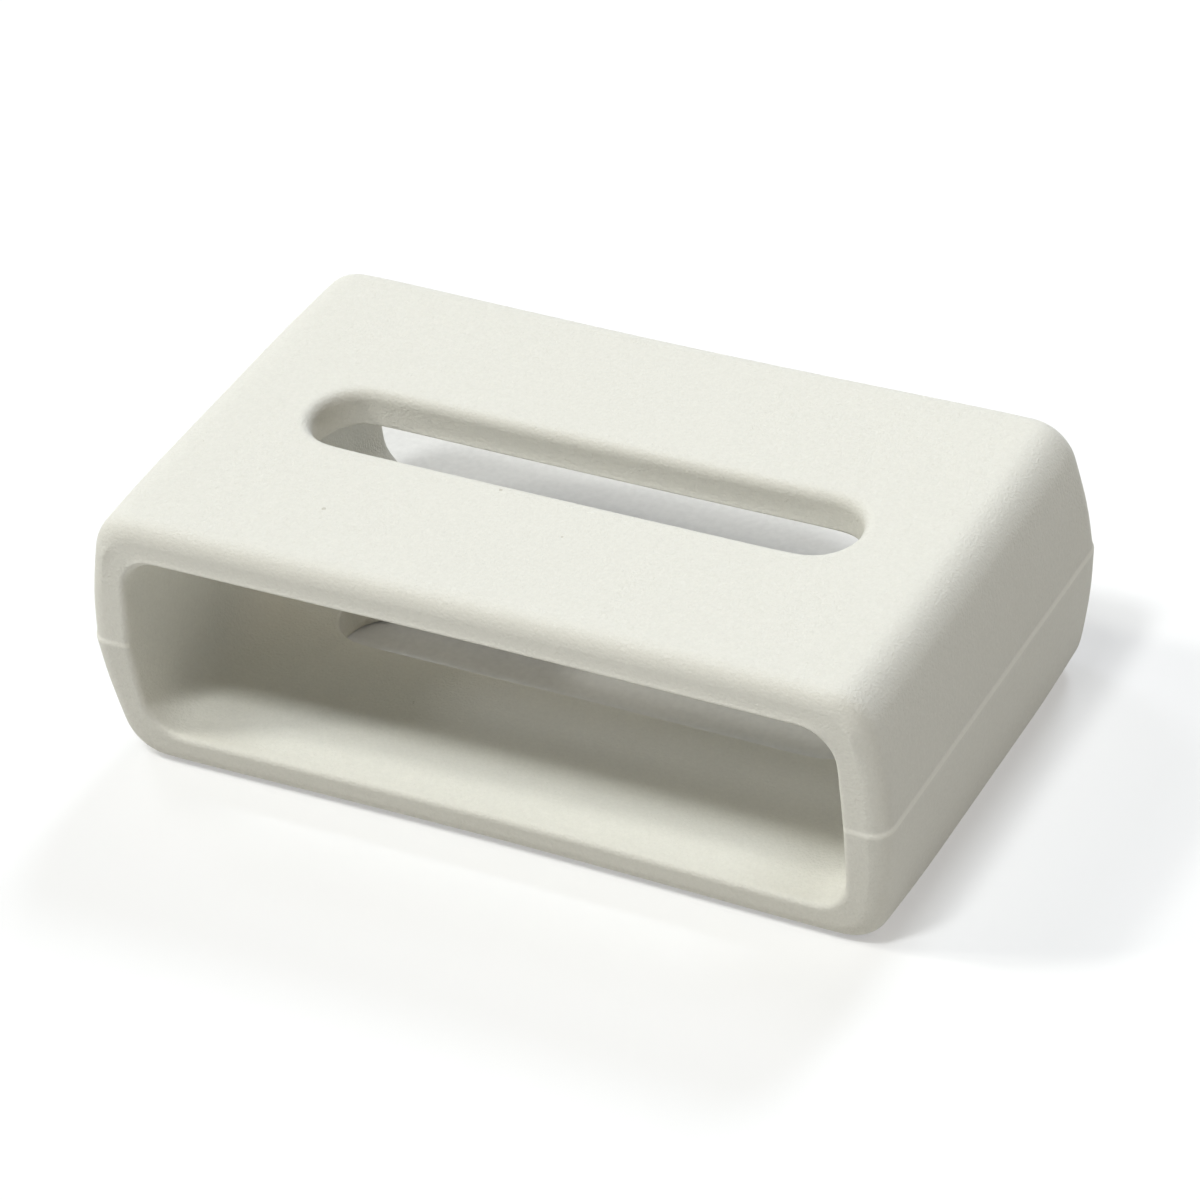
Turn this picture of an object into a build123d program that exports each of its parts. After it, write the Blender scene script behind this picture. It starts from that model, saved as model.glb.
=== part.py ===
from build123d import *
import os
from math import radians, tan

# Watch strap keeper: one soft loop, moulded in a single shot of silicone rubber.
# The strap runs through it along Y with its width along X, and the loop lies on its lower wall.
# Both mould halves are alike, and they part at half the loop's height.

# Tunnel for a 20 mm strap and its folded tail
tunnel_width = 20.0
tunnel_height = 5.35
tunnel_corner_radius = 0.95
mouth_rim_radius = 0.15

# Walls round the tunnel
flat_wall = 1.1
side_wall = 1.2
loop_length = 12.9

# Outer edges
end_corner_radius = 1.1
face_edge_radius = 0.65

# Slots through the upper and lower walls, long way across the strap
slot_end_land = 2.35
slot_width = 2.25
slot_outer_rim_radius = 0.3
slot_inner_rim_radius = 0.1

# Mould draft in degrees: the ends, the open faces and the tunnel's sides
end_draft = 6.3
face_draft = 2.9
tunnel_draft = 2.6

# How near two points are when they count as the same place
same_place = 0.001

# The most of a wall that the roundings on it may take
outer_edge_share = 0.75
both_edges_share = 0.95

outer_width = tunnel_width + 2 * side_wall
slot_length = tunnel_width - 2 * slot_end_land
ceiling_rise = tunnel_height / 2
half_height = ceiling_rise + flat_wall
thin_wall = min(flat_wall, side_wall)
face_edge = min(face_edge_radius, outer_edge_share * thin_wall)
mouth_rim = min(mouth_rim_radius, both_edges_share * thin_wall - face_edge)
slot_outer_rim = min(slot_outer_rim_radius, outer_edge_share * flat_wall)
slot_inner_rim = min(slot_inner_rim_radius, both_edges_share * flat_wall - slot_outer_rim)


def half_outline(half_span, rise, draft):
    """A drafted half section that stands on the parting plane."""
    narrow = half_span - rise * tan(radians(draft))
    return make_face(Polyline((-half_span, 0), (half_span, 0), (narrow, rise), (-narrow, rise), close=True))


def round_far_corners(outline, radius):
    """Rounds the two corners that are away from the parting plane."""
    return fillet(outline.vertices().sort_by(Axis.Y)[-2:], radius)


def solid_half():
    """The upper half before anything is cut: drafted ends and faces, edges rounded."""
    seen_along_strap = half_outline(outer_width / 2, half_height, end_draft)
    seen_along_strap = round_far_corners(seen_along_strap, end_corner_radius)
    seen_from_end = half_outline(loop_length / 2, half_height, face_draft)
    block = extrude(Plane.XZ * seen_along_strap, loop_length, both=True)
    block &= extrude(Plane.YZ * seen_from_end, outer_width, both=True)
    open_faces = block.faces().sort_by(Axis.Y)
    edges = open_faces[0].edges() + open_faces[-1].edges()
    return fillet(above_parting(edges), face_edge)


def above_parting(edges):
    """Leaves out the edges that the two halves share."""
    return [edge for edge in edges if edge.center().Z > same_place]


def cut_tunnel(block):
    """Opens the strap tunnel and rounds the rims of its two mouths."""
    section = half_outline(tunnel_width / 2, ceiling_rise, tunnel_draft)
    section = round_far_corners(section, tunnel_corner_radius)
    tunnel = extrude(Plane.XZ * section, loop_length, both=True)
    opened = block - tunnel
    return fillet(above_parting(new_edges(block, tunnel, combined=opened)), mouth_rim)


def cut_slot(half):
    """Cuts the slot through the flat wall and rounds its outer and inner rims."""
    slotted = half - extrude(Plane.XY * SlotOverall(slot_length, slot_width), 2 * half_height)
    slotted = fillet(slot_rim(slotted, half_height), slot_outer_rim)
    return fillet(slot_rim(slotted, ceiling_rise), slot_inner_rim)


def slot_rim(part, height):
    """The slot's edges at this height."""
    edges = part.edges().filter_by_position(Axis.Z, height - same_place, height + same_place)
    edges = edges.filter_by_position(Axis.Y, -slot_width / 2 - same_place, slot_width / 2 + same_place)
    return edges.filter_by_position(Axis.X, -slot_length / 2 - same_place, slot_length / 2 + same_place)


def keeper_loop():
    """The whole loop, standing on its lower wall over the origin."""
    upper_half = cut_slot(cut_tunnel(solid_half()))
    return Pos(0, 0, half_height) * (upper_half + mirror(upper_half, about=Plane.XY))


os.makedirs("parts", exist_ok=True)
export_step(keeper_loop(), "parts/keeper_loop.step")
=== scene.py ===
import math

import bmesh
import bpy
from mathutils import Matrix, Vector


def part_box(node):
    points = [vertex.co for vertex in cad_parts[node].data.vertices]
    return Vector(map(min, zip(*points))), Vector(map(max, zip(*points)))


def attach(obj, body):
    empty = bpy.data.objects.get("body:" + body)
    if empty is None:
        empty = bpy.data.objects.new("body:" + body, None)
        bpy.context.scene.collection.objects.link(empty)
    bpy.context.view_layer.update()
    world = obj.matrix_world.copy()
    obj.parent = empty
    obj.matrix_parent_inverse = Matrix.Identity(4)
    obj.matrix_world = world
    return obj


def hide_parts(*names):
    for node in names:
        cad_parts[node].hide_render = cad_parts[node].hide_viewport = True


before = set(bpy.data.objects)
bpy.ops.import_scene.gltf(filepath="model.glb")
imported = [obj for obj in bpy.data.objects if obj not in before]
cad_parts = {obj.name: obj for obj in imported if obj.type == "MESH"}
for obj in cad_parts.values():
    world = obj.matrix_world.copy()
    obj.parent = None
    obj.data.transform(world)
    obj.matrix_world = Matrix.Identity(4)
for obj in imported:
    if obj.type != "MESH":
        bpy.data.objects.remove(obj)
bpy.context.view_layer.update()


# Keeper loop
# The whole keeper is one piece of silicone rubber, pressed in a two-part mould that opens at half height.
# The strap slides through its tunnel, and an oblong slot goes through the wall above and the wall below.
mm = 0.001
low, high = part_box("keeper_loop")
loop_width = high.x - low.x
loop_length = high.y - low.y
loop_height = high.z - low.z
parting = (low.z + high.z) / 2

tunnel_width = 20.0 * mm
flat_wall = 1.1 * mm
tunnel_rise = loop_height / 2 - flat_wall
end_draft = math.radians(6.3)
face_draft = math.radians(2.9)
tunnel_draft = math.radians(2.6)
section_rounding = 0.95 * mm
face_rounding = 0.5 * mm
mouth_rounding = 0.17 * mm
holding_loop = 0.06 * mm
same_place = 0.001 * mm
facing_strap = 0.99


def select(kind, wanted):
    """Selects those vertices, edges or faces of the mesh in hand that pass the test."""
    bpy.ops.mesh.select_mode(type={"verts": "VERT", "edges": "EDGE", "faces": "FACE"}[kind])
    bpy.ops.mesh.select_all(action="DESELECT")
    shape = bmesh.from_edit_mesh(bpy.context.edit_object.data)
    for element in getattr(shape, kind):
        if wanted(element):
            element.select_set(True)
    shape.select_flush_mode()
    bmesh.update_edit_mesh(bpy.context.edit_object.data)


def middle(edge):
    """The point halfway along an edge."""
    return (edge.verts[0].co + edge.verts[1].co) / 2


def rise(point):
    """How far a point lies above or below the parting plane."""
    return abs(point.z - parting)


def on_open_face(face):
    """Whether a face belongs to one of the two ends that the strap goes through."""
    return abs(face.normal.y) > facing_strap


bpy.ops.object.select_all(action="DESELECT")
bpy.ops.mesh.primitive_cube_add(
    size=1, location=(low + high) / 2, scale=(loop_width, loop_length, loop_height)
)
loop = bpy.context.active_object
loop.name = "silicone_loop"
bpy.ops.object.transform_apply(location=True, rotation=True, scale=True)
bpy.ops.object.mode_set(mode="EDIT")

# The parting plane divides every upright face, then both open faces are inset and joined by the tunnel
bpy.ops.mesh.select_all(action="SELECT")
bpy.ops.mesh.bisect(plane_co=(0, 0, parting), plane_no=(0, 0, 1), threshold=same_place)
select("faces", on_open_face)
bpy.ops.mesh.inset(thickness=flat_wall)
bpy.ops.mesh.bridge_edge_loops()
select(
    "verts",
    lambda vert: rise(vert.co) < tunnel_rise + same_place and abs(vert.co.x) < loop_width / 2 - same_place,
)
wider = tunnel_width / (loop_width - 2 * flat_wall)
bpy.ops.transform.resize(value=(wider, 1, 1), center_override=(0, 0, parting))

# Draft narrows the ends, the open faces and the tunnel away from the parting plane
for level, half_span, draft in (
    (loop_height / 2, loop_width / 2, end_draft),
    (tunnel_rise, tunnel_width / 2, tunnel_draft),
):
    select("verts", lambda vert: abs(rise(vert.co) - level) < same_place)
    narrower = 1 - level * math.tan(draft) / half_span
    shorter = 1 - level * math.tan(face_draft) / (loop_length / 2)
    bpy.ops.transform.resize(value=(narrower, shorter, 1), center_override=(0, 0, parting))

# The wall is rounded at its four corners, inside and outside at once
select(
    "edges",
    lambda edge: abs(middle(edge).x) > tunnel_width / 4 and rise(middle(edge)) > tunnel_rise - same_place,
)
bpy.ops.mesh.bevel(
    offset_type="ABSOLUTE", offset=section_rounding, segments=6, affect="EDGES", clamp_overlap=False
)


# The edges of the open faces are rounded, on the outside and at the mouths
def on_rim(edge):
    """Whether an edge bounds an open face."""
    return sum(map(on_open_face, edge.link_faces)) == 1


def outside_tunnel(point):
    """Whether a point lies outside the tunnel's section."""
    return abs(point.x) > tunnel_width / 2 + same_place or rise(point) > tunnel_rise + same_place


def on_outer_rim(edge):
    """Whether an edge bounds an open face on the outside."""
    return on_rim(edge) and outside_tunnel(middle(edge))


def on_mouth_rim(edge):
    """Whether an edge bounds an open face at the tunnel's mouth."""
    return on_rim(edge) and not outside_tunnel(middle(edge))


def round_edges(wanted, rounding, segments):
    """Rounds edges between two holding loops, which keep the rounding from spreading into the flats."""
    select("edges", wanted)
    bpy.ops.mesh.bevel(
        offset=rounding + holding_loop, segments=2, profile=1, affect="EDGES", clamp_overlap=False
    )
    select("edges", wanted)
    bpy.ops.mesh.bevel(offset=rounding, segments=segments, affect="EDGES", clamp_overlap=False)


round_edges(on_outer_rim, face_rounding, segments=5)
round_edges(on_mouth_rim, mouth_rounding, segments=4)

# Even rows and columns keep the rubber's faces near square, and a narrow strip marks the parting line
column = 1.306 * mm
slot_columns = 5
margin_column = 1.06 * mm
margin_columns = 2
slot_width = 2.36 * mm
slot_end_faces = 4
parting_strip = 0.07 * mm
parting_margin = 0.18 * mm
wall_row = 1.3 * mm
land_row = 3.7 * mm
edge_row = 5.55 * mm


def cut_all(point, direction):
    """Cuts every face where a plane crosses it."""
    bpy.ops.mesh.select_all(action="SELECT")
    bpy.ops.mesh.bisect(plane_co=point, plane_no=direction, threshold=same_place)


slot_half_run = slot_columns * column
patch_end = slot_half_run + margin_columns * margin_column
columns = [step * column for step in range(slot_columns + 1)]
columns += [patch_end - step * margin_column for step in range(margin_columns)]
for across in columns:
    for x in sorted({-across, across}):
        cut_all((x, 0, 0), (1, 0, 0))
for along in (0, slot_width / 2, slot_width, land_row, edge_row):
    for y in sorted({-along, along}):
        cut_all((0, y, 0), (0, 1, 0))
for from_parting in (parting_strip, parting_margin, wall_row):
    for z in (parting - from_parting, parting + from_parting):
        cut_all((0, 0, z), (0, 0, 1))

# The slot goes through both flat walls: an oblong is set into each wall's faces and joined through the wall
slot_outer_rounding = 0.3 * mm
slot_inner_rounding = 0.1 * mm
oblong_lift = 0.4 * mm


def at_level(point, level):
    """Whether a point lies at this height."""
    return abs(point.z - level) < same_place


def in_patch(point, level):
    """Whether a point lies at this level in the oblong's surroundings."""
    return at_level(point, level) and abs(point.x) < patch_end and abs(point.y) < slot_width


def on_oblong(point):
    """Whether a point lies on or inside the oblong's edge, seen from above."""
    beyond = max(abs(point.x) - slot_half_run, 0)
    return math.hypot(beyond, point.y) < slot_width / 2 + holding_loop / 2


def set_in_oblong(level):
    """Swaps a patch of one flat face for a ring of faces round an oblong opening."""
    select("faces", lambda face: in_patch(face.calc_center_median(), level))
    bpy.ops.mesh.delete(type="FACE")
    lifted = level + oblong_lift
    bpy.ops.mesh.select_all(action="DESELECT")
    bpy.ops.mesh.primitive_plane_add(size=1, location=(0, 0, lifted))
    bpy.ops.transform.resize(
        value=(2 * slot_half_run + slot_width, slot_width, 1), center_override=(0, 0, lifted)
    )
    bpy.ops.mesh.bevel(offset=slot_width / 2, segments=slot_end_faces, affect="VERTICES", clamp_overlap=False)
    bpy.ops.mesh.remove_doubles(threshold=same_place)
    bpy.ops.mesh.delete(type="ONLY_FACE")
    select("edges", lambda edge: edge.is_wire and edge.calc_length() > slot_half_run)
    bpy.ops.mesh.subdivide(number_cuts=2 * slot_columns - 1)
    select("edges", lambda edge: edge.is_wire or (at_level(middle(edge), level) and edge.is_boundary))
    bpy.ops.mesh.bridge_edge_loops()
    select("verts", lambda vert: at_level(vert.co, lifted) and vert.is_boundary and on_oblong(vert.co))
    bpy.ops.transform.translate(value=(0, 0, -oblong_lift))


for side in (-1, 1):
    outside = parting + side * loop_height / 2
    inside = parting + side * tunnel_rise
    set_in_oblong(outside)
    set_in_oblong(inside)
    select("edges", lambda edge: edge.is_boundary and on_oblong(middle(edge)))
    bpy.ops.mesh.bridge_edge_loops()
    for level, rounding, segments in ((outside, slot_outer_rounding, 5), (inside, slot_inner_rounding, 2)):
        round_edges(
            lambda edge: at_level(middle(edge), level) and on_oblong(middle(edge)), rounding, segments
        )

bpy.ops.mesh.select_all(action="SELECT")
bpy.ops.mesh.normals_make_consistent(inside=False)

# The ends sink a little at the parting line, and swell a little halfway from there to their edges
end_swell = 0.05 * mm
parting_sink = 0.03 * mm


def on_end(point):
    """Whether a point lies on one of the two end walls, away from the mouth."""
    return abs(point.x) > tunnel_width / 2 + flat_wall / 2


for lowest, highest, swell in (
    (-same_place, wall_row / 2, -parting_sink),
    (wall_row / 2, wall_row * 1.5, end_swell),
):
    select("verts", lambda vert: on_end(vert.co) and lowest < rise(vert.co) < highest)
    bpy.ops.transform.resize(value=(1 + 2 * swell / loop_width, 1, 1), center_override=(0, 0, parting))

# Below the parting line the tunnel grows a little towards each mouth, so the lower lip is thin
lip_drop = 0.09 * mm


def on_lower_mouth(point):
    """Whether a point lies on the lower half of a mouth, its rounding and the loop that holds it included."""
    beside = abs(point.x) - tunnel_width / 2
    below = parting - point.z
    rim = mouth_rounding + 2 * holding_loop
    return abs(point.y) > edge_row - same_place and beside < rim and same_place < below < tunnel_rise + rim


select("verts", lambda vert: on_lower_mouth(vert.co))
bpy.ops.transform.resize(value=(1, 1, 1 + lip_drop / tunnel_rise), center_override=(0, 0, parting))

# A fine ridge of rubber crept out over each mouth. The lower mould half is a hair wider, which leaves a fine
# step along the parting line at the ends.
ridge_height = 0.06 * mm
step_width = 0.03 * mm


def over_mouth(edge):
    """Whether an edge bounds an open face just over the tunnel's mouth."""
    above = middle(edge).z - parting - tunnel_rise
    return on_rim(edge) and 0 < above < mouth_rounding + holding_loop / 2


def on_step(point):
    """Whether a point lies on an end wall, on the parting line or just below it."""
    return on_end(point) and -parting_margin - same_place < point.z - parting < same_place


select("edges", over_mouth)
bpy.ops.transform.shrink_fatten(value=ridge_height)
select("verts", lambda vert: on_step(vert.co))
bpy.ops.transform.shrink_fatten(value=step_width)

# The eight outer corners are rounder than the edges that meet there
corner_pull = 0.065 * mm
corner_reach = 1.6 * mm


def on_corner(point):
    """Whether a point lies where the rounding of an open face turns round a corner of the section."""
    at_side = on_end(point) and rise(point) > loop_height / 2 - section_rounding
    return at_side and abs(point.y) > loop_length / 2 - face_rounding


select("verts", lambda vert: on_corner(vert.co))
bpy.ops.transform.resize(
    value=(1 - 2 * corner_pull / loop_width, 1, 1 - 2 * corner_pull / loop_height),
    center_override=(0, 0, parting),
    use_proportional_edit=True,
    proportional_edit_falloff="SMOOTH",
    proportional_size=corner_reach,
)
bpy.ops.object.mode_set(mode="OBJECT")

# The rubber shrank as it cooled, so midway between the ends the open faces sink a little, and the upper and
# lower walls a little less
wall_sink = 0.11 * mm
roof_sink = 0.04 * mm
bpy.ops.object.add(type="LATTICE", location=(0, 0, parting))
cage = bpy.context.active_object
cage.scale = (loop_width, loop_length, loop_height)
cage.data.points_u = cage.data.points_v = cage.data.points_w = 3
cage.data.interpolation_type_u = "KEY_CATMULL_ROM"
cage.data.interpolation_type_v = "KEY_LINEAR"
cage.data.interpolation_type_w = "KEY_LINEAR"
for point in cage.data.points:
    if abs(point.co.x) < same_place:
        point.co_deform.y *= 1 - 2 * wall_sink / loop_length
        point.co_deform.z *= 1 - 2 * roof_sink / loop_height
bpy.context.view_layer.objects.active = loop
sinking = loop.modifiers.new("Sinking", "LATTICE")
sinking.object = cage
bpy.ops.object.modifier_apply(modifier=sinking.name)
bpy.data.objects.remove(cage)

subdivision = loop.modifiers.new("Rounding", "SUBSURF")
subdivision.levels = 2
subdivision.render_levels = 2
bpy.ops.object.modifier_apply(modifier=subdivision.name)
bpy.ops.object.select_all(action="DESELECT")
loop.select_set(True)
bpy.ops.object.shade_smooth()


def linear(hex_colour):
    """An sRGB hex colour as the linear values that a shader reads."""
    channels = [int(hex_colour[start:start + 2], 16) / 255 for start in (1, 3, 5)]
    return [c / 12.92 if c <= 0.04045 else ((c + 0.055) / 1.055) ** 2.4 for c in channels] + [1]


def add_node(tree, kind, settings, inputs):
    """Adds a node with its own settings, and gives each input a value or another node's output."""
    node = tree.nodes.new(kind)
    for name, value in settings.items():
        setattr(node, name, value)
    for name, value in inputs.items():
        if isinstance(value, bpy.types.NodeSocket):
            tree.links.new(value, node.inputs[name])
        else:
            node.inputs[name].default_value = value
    return node


def add_noise(tree, place, size, detail, roughness=0.5):
    """Adds noise with lumps of about this size."""
    inputs = {"Vector": place, "Scale": 1 / size, "Detail": detail, "Roughness": roughness}
    return add_node(tree, "ShaderNodeTexNoise", {}, inputs)


def add_maths(tree, operation, *values):
    """Adds a calculation with one value or two."""
    inputs = dict(enumerate(values))
    return add_node(tree, "ShaderNodeMath", {"operation": operation}, inputs).outputs["Value"]


def add_range(tree, value, start=0, end=1, first=0, last=1, curve="LINEAR"):
    """Adds a value that goes from first to last while the given one goes from start to end."""
    inputs = {"Value": value, "From Min": start, "From Max": end, "To Min": first, "To Max": last}
    return add_node(tree, "ShaderNodeMapRange", {"interpolation_type": curve}, inputs).outputs["Result"]


def add_mix(tree, share, first, second):
    """Adds a mix of two colours, the first where the share is 0 and the second where it is 1."""
    inputs = {0: share, 6: first, 7: second}
    return add_node(tree, "ShaderNodeMix", {"data_type": "RGBA"}, inputs).outputs[2]


# Silicone rubber, dyed off-white and moulded against spark-eroded steel. It is matte with a very fine grain,
# its colour is faintly mottled, its sheen faintly cloudy, and here and there it holds a faint speck of dust.
# At the parting line it crept out thin enough to let light through. On the ends that line is painted paler,
# a painted highlight.
grain_size = 0.07 * mm
grain_depth = 0.022 * mm
mottle_size = 0.11 * mm
noise_low = 0.3
noise_high = 0.7
cloud_size = 3.5 * mm
least_roughness = 0.58
most_roughness = 0.68
silicone_ior = 1.41
speck_spacing = 1.3 * mm
speck_radius = 0.06 * mm
speck_roughness = 0.08 * mm
specked_share = 0.6
highlight_reach = 0.03 * mm
highlight_end = 0.12 * mm
rubber_dark = linear("#E2E0D7")
rubber_light = linear("#E8E6DD")
dust_colour = linear("#CDC9BD")
highlight_line_colour = linear("#F4F2E9")

silicone = bpy.data.materials.new("matte_white_silicone_rubber")
silicone.use_nodes = True
tree = silicone.node_tree
surface = tree.nodes["Principled BSDF"]
place = add_node(tree, "ShaderNodeTexCoord", {}, {}).outputs["Object"]
clouds = add_noise(tree, place, cloud_size, detail=3)
mottle = add_noise(tree, place, mottle_size, detail=3, roughness=0.7)
mottled = add_range(tree, mottle.outputs["Fac"], start=noise_low, end=noise_high)
rubber = add_mix(tree, mottled, rubber_dark, rubber_light)
ragged = add_noise(tree, place, speck_radius, detail=1)
shift = add_node(
    tree,
    "ShaderNodeVectorMath",
    {"operation": "SCALE"},
    {0: ragged.outputs["Color"], "Scale": speck_roughness},
)
moved = add_node(tree, "ShaderNodeVectorMath", {"operation": "ADD"}, {0: place, 1: shift.outputs["Vector"]})
cells = add_node(
    tree, "ShaderNodeTexVoronoi", {}, {"Vector": moved.outputs["Vector"], "Scale": 1 / speck_spacing}
)
chance = add_node(tree, "ShaderNodeSeparateColor", {}, {"Color": cells.outputs["Color"]})
widest_speck = speck_radius / speck_spacing
speck_reach = add_range(tree, chance.outputs["Red"], start=1 - specked_share, last=widest_speck)
speck = add_maths(tree, "LESS_THAN", cells.outputs["Distance"], speck_reach)
specked = add_mix(tree, speck, rubber, dust_colour)
# Painted highlight: a paler line along the parting line on the two ends
axes = add_node(tree, "ShaderNodeSeparateXYZ", {}, {"Vector": place})
sideways = add_maths(tree, "ABSOLUTE", axes.outputs["X"])
at_ends = add_maths(tree, "GREATER_THAN", sideways, tunnel_width / 2 + highlight_reach)
above_line = add_maths(tree, "SUBTRACT", axes.outputs["Z"], parting)
from_line = add_maths(tree, "ABSOLUTE", above_line)
line_highlight = add_range(tree, from_line, start=highlight_reach, end=highlight_end, first=at_ends, last=0, curve="SMOOTHSTEP")
highlighted = add_mix(tree, line_highlight, specked, highlight_line_colour)
grain = add_noise(tree, place, grain_size, detail=2)
relief = add_node(
    tree,
    "ShaderNodeBump",
    {},
    {"Height": grain.outputs["Fac"], "Distance": grain_depth, "Strength": 1},
)
roughness = add_range(tree, clouds.outputs["Fac"], first=least_roughness, last=most_roughness)
tree.links.new(highlighted, surface.inputs["Base Color"])
tree.links.new(roughness, surface.inputs["Roughness"])
tree.links.new(relief.outputs["Normal"], surface.inputs["Normal"])
surface.inputs["IOR"].default_value = silicone_ior
loop.data.materials.append(silicone)

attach(loop, "root")
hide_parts("keeper_loop")


# Floor
# The keeper lies on a big sheet of white paper, which takes its soft shadow. The camera sees the sheet glow
# enough to be white. In a fixed oval behind the keeper it hardly glows, a painted shade patch, so that the
# slots show plain paper in shade.
floor_width = 4000 * mm
glow = 0.38
shade_oval_glow = 0.03
shade_oval_centre = (-2.7 * mm, 4.35 * mm, 0)
shade_oval_turn = math.radians(-28)
shade_oval_reach = (14 * mm, 8.5 * mm, 1)
shade_oval_share = 0.68
fibre_size = 0.2 * mm
paper_roughness = 0.9
fibre_dark = linear("#D4D3D0")
fibre_light = linear("#DCDBD8")
glowing_paper = linear("#CBCBCB")
white = (1, 1, 1, 1)

bpy.ops.mesh.primitive_plane_add(size=floor_width)
floor = bpy.context.active_object
floor.name = "paper_floor"
paper = bpy.data.materials.new("white_paper")
paper.use_nodes = True
tree = paper.node_tree
surface = tree.nodes["Principled BSDF"]
surface.inputs["Roughness"].default_value = paper_roughness
surface.inputs["Emission Color"].default_value = white


def add_seen(tree):
    """Adds a value that is 1 for what the camera sees, also in a mirror or through glass, and else 0."""
    ray = add_node(tree, "ShaderNodeLightPath", {}, {})
    seen = ray.outputs["Is Camera Ray"]
    for kind in ("Is Glossy Ray", "Is Transmission Ray"):
        seen = add_maths(tree, "MAXIMUM", seen, ray.outputs[kind])
    return seen


place = add_node(tree, "ShaderNodeTexCoord", {}, {}).outputs["Object"]
# Painted shade: in this oval behind the keeper the sheet hardly glows, so it shows darker
oval = add_node(
    tree,
    "ShaderNodeMapping",
    {"vector_type": "TEXTURE"},
    {"Vector": place, "Location": shade_oval_centre, "Rotation": (0, 0, shade_oval_turn), "Scale": shade_oval_reach},
)
from_centre = add_node(tree, "ShaderNodeVectorMath", {"operation": "LENGTH"}, {0: oval.outputs["Vector"]})
beyond = add_range(tree, from_centre.outputs["Value"], start=shade_oval_share, curve="SMOOTHSTEP")
fibres = add_noise(tree, place, fibre_size, detail=3)
fibrous = add_range(tree, fibres.outputs["Fac"], start=noise_low, end=noise_high)
shaded = add_mix(tree, fibrous, fibre_dark, fibre_light)
seen = add_seen(tree)
seen_beyond = add_maths(tree, "MULTIPLY", seen, beyond)
sheet = add_mix(tree, seen_beyond, shaded, glowing_paper)
glows = add_range(tree, beyond, first=shade_oval_glow, last=glow)
seen_glow = add_maths(tree, "MULTIPLY", seen, glows)
tree.links.new(sheet, surface.inputs["Base Color"])
tree.links.new(seen_glow, surface.inputs["Emission Strength"])
floor.data.materials.append(paper)


# Light
# Soft lamps stand all round, as in a photographer's light tent, the strongest in front and behind. Those
# behind give cooler light, and the right one and the low one in front warmer light. The room round them is
# white to the camera and in reflections, and gives hardly any light itself.
room_light = 0.02

world = bpy.data.worlds.new("studio")
bpy.context.scene.world = world
world.use_nodes = True
tree = world.node_tree
background = tree.nodes["Background"]
brightness = add_range(tree, add_seen(tree), first=room_light)
tree.links.new(brightness, background.inputs["Strength"])
background.inputs["Color"].default_value = white
bpy.context.scene.view_settings.view_transform = "Standard"


def towards(azimuth, elevation):
    """The direction from the keeper to a lamp or the camera; the front is at 0, the right end at 90."""
    side = math.radians(azimuth)
    up = math.radians(elevation)
    return Vector((math.sin(side) * math.cos(up), -math.cos(side) * math.cos(up), math.sin(up)))


def add_lamp(name, azimuth, elevation, strength, spread, hue):
    """A soft lamp far away, as wide as the spread in degrees."""
    lamp = bpy.data.lights.new(name, "SUN")
    lamp.energy = strength
    lamp.color = linear(hue)[:3]
    lamp.angle = math.radians(spread)
    placed = bpy.data.objects.new(name, lamp)
    placed.rotation_mode = "QUATERNION"
    placed.rotation_quaternion = towards(azimuth, elevation).to_track_quat("Z", "Y")
    bpy.context.scene.collection.objects.link(placed)


add_lamp("front", 0, 74, 0.31, 9, "#FCFFFF")
add_lamp("front_left", -20, 67.5, 1.1, 8, "#FCFFFF")
add_lamp("left", -75, 50, 0.68, 6, "#FEFEF6")
add_lamp("low_left", -68, 38, 0.45, 5, "#FEFEF6")
add_lamp("behind_left", -120, 50, 0.35, 15, "#F4F7FF")
add_lamp("behind", 180, 45, 1.1, 15, "#ECF5FF")
add_lamp("right", 90, 50, 0.33, 30, "#FFF1DD")
add_lamp("low_front", 0, 12, 0.08, 25, "#FFEAD6")


# Camera
# It stands at the photograph's angle and distance, with the same roll and the same long lens.
camera_azimuth = 31.13
camera_elevation = 36.33
camera_roll = math.radians(-6.15)
camera_distance = 131.99 * mm
frame_pixels = 1200
focal_pixels = 5192
aim_right = -0.155 * mm
aim_up = 0.278 * mm

lens = bpy.data.cameras.new("camera")
lens.sensor_width = 36
lens.lens = focal_pixels * lens.sensor_width / frame_pixels
lens.clip_start = 10 * mm
camera = bpy.data.objects.new("camera", lens)
back = towards(camera_azimuth, camera_elevation)
level_right = Vector((0, 0, 1)).cross(back).normalized()
level_up = back.cross(level_right)
right = math.cos(camera_roll) * level_right + math.sin(camera_roll) * level_up
up = back.cross(right)
stand = Vector((0, 0, parting)) + back * camera_distance - right * aim_right - up * aim_up
camera.matrix_world = Matrix.Translation(stand) @ Matrix((right, up, back)).transposed().to_4x4()
bpy.context.scene.collection.objects.link(camera)
bpy.context.scene.camera = camera
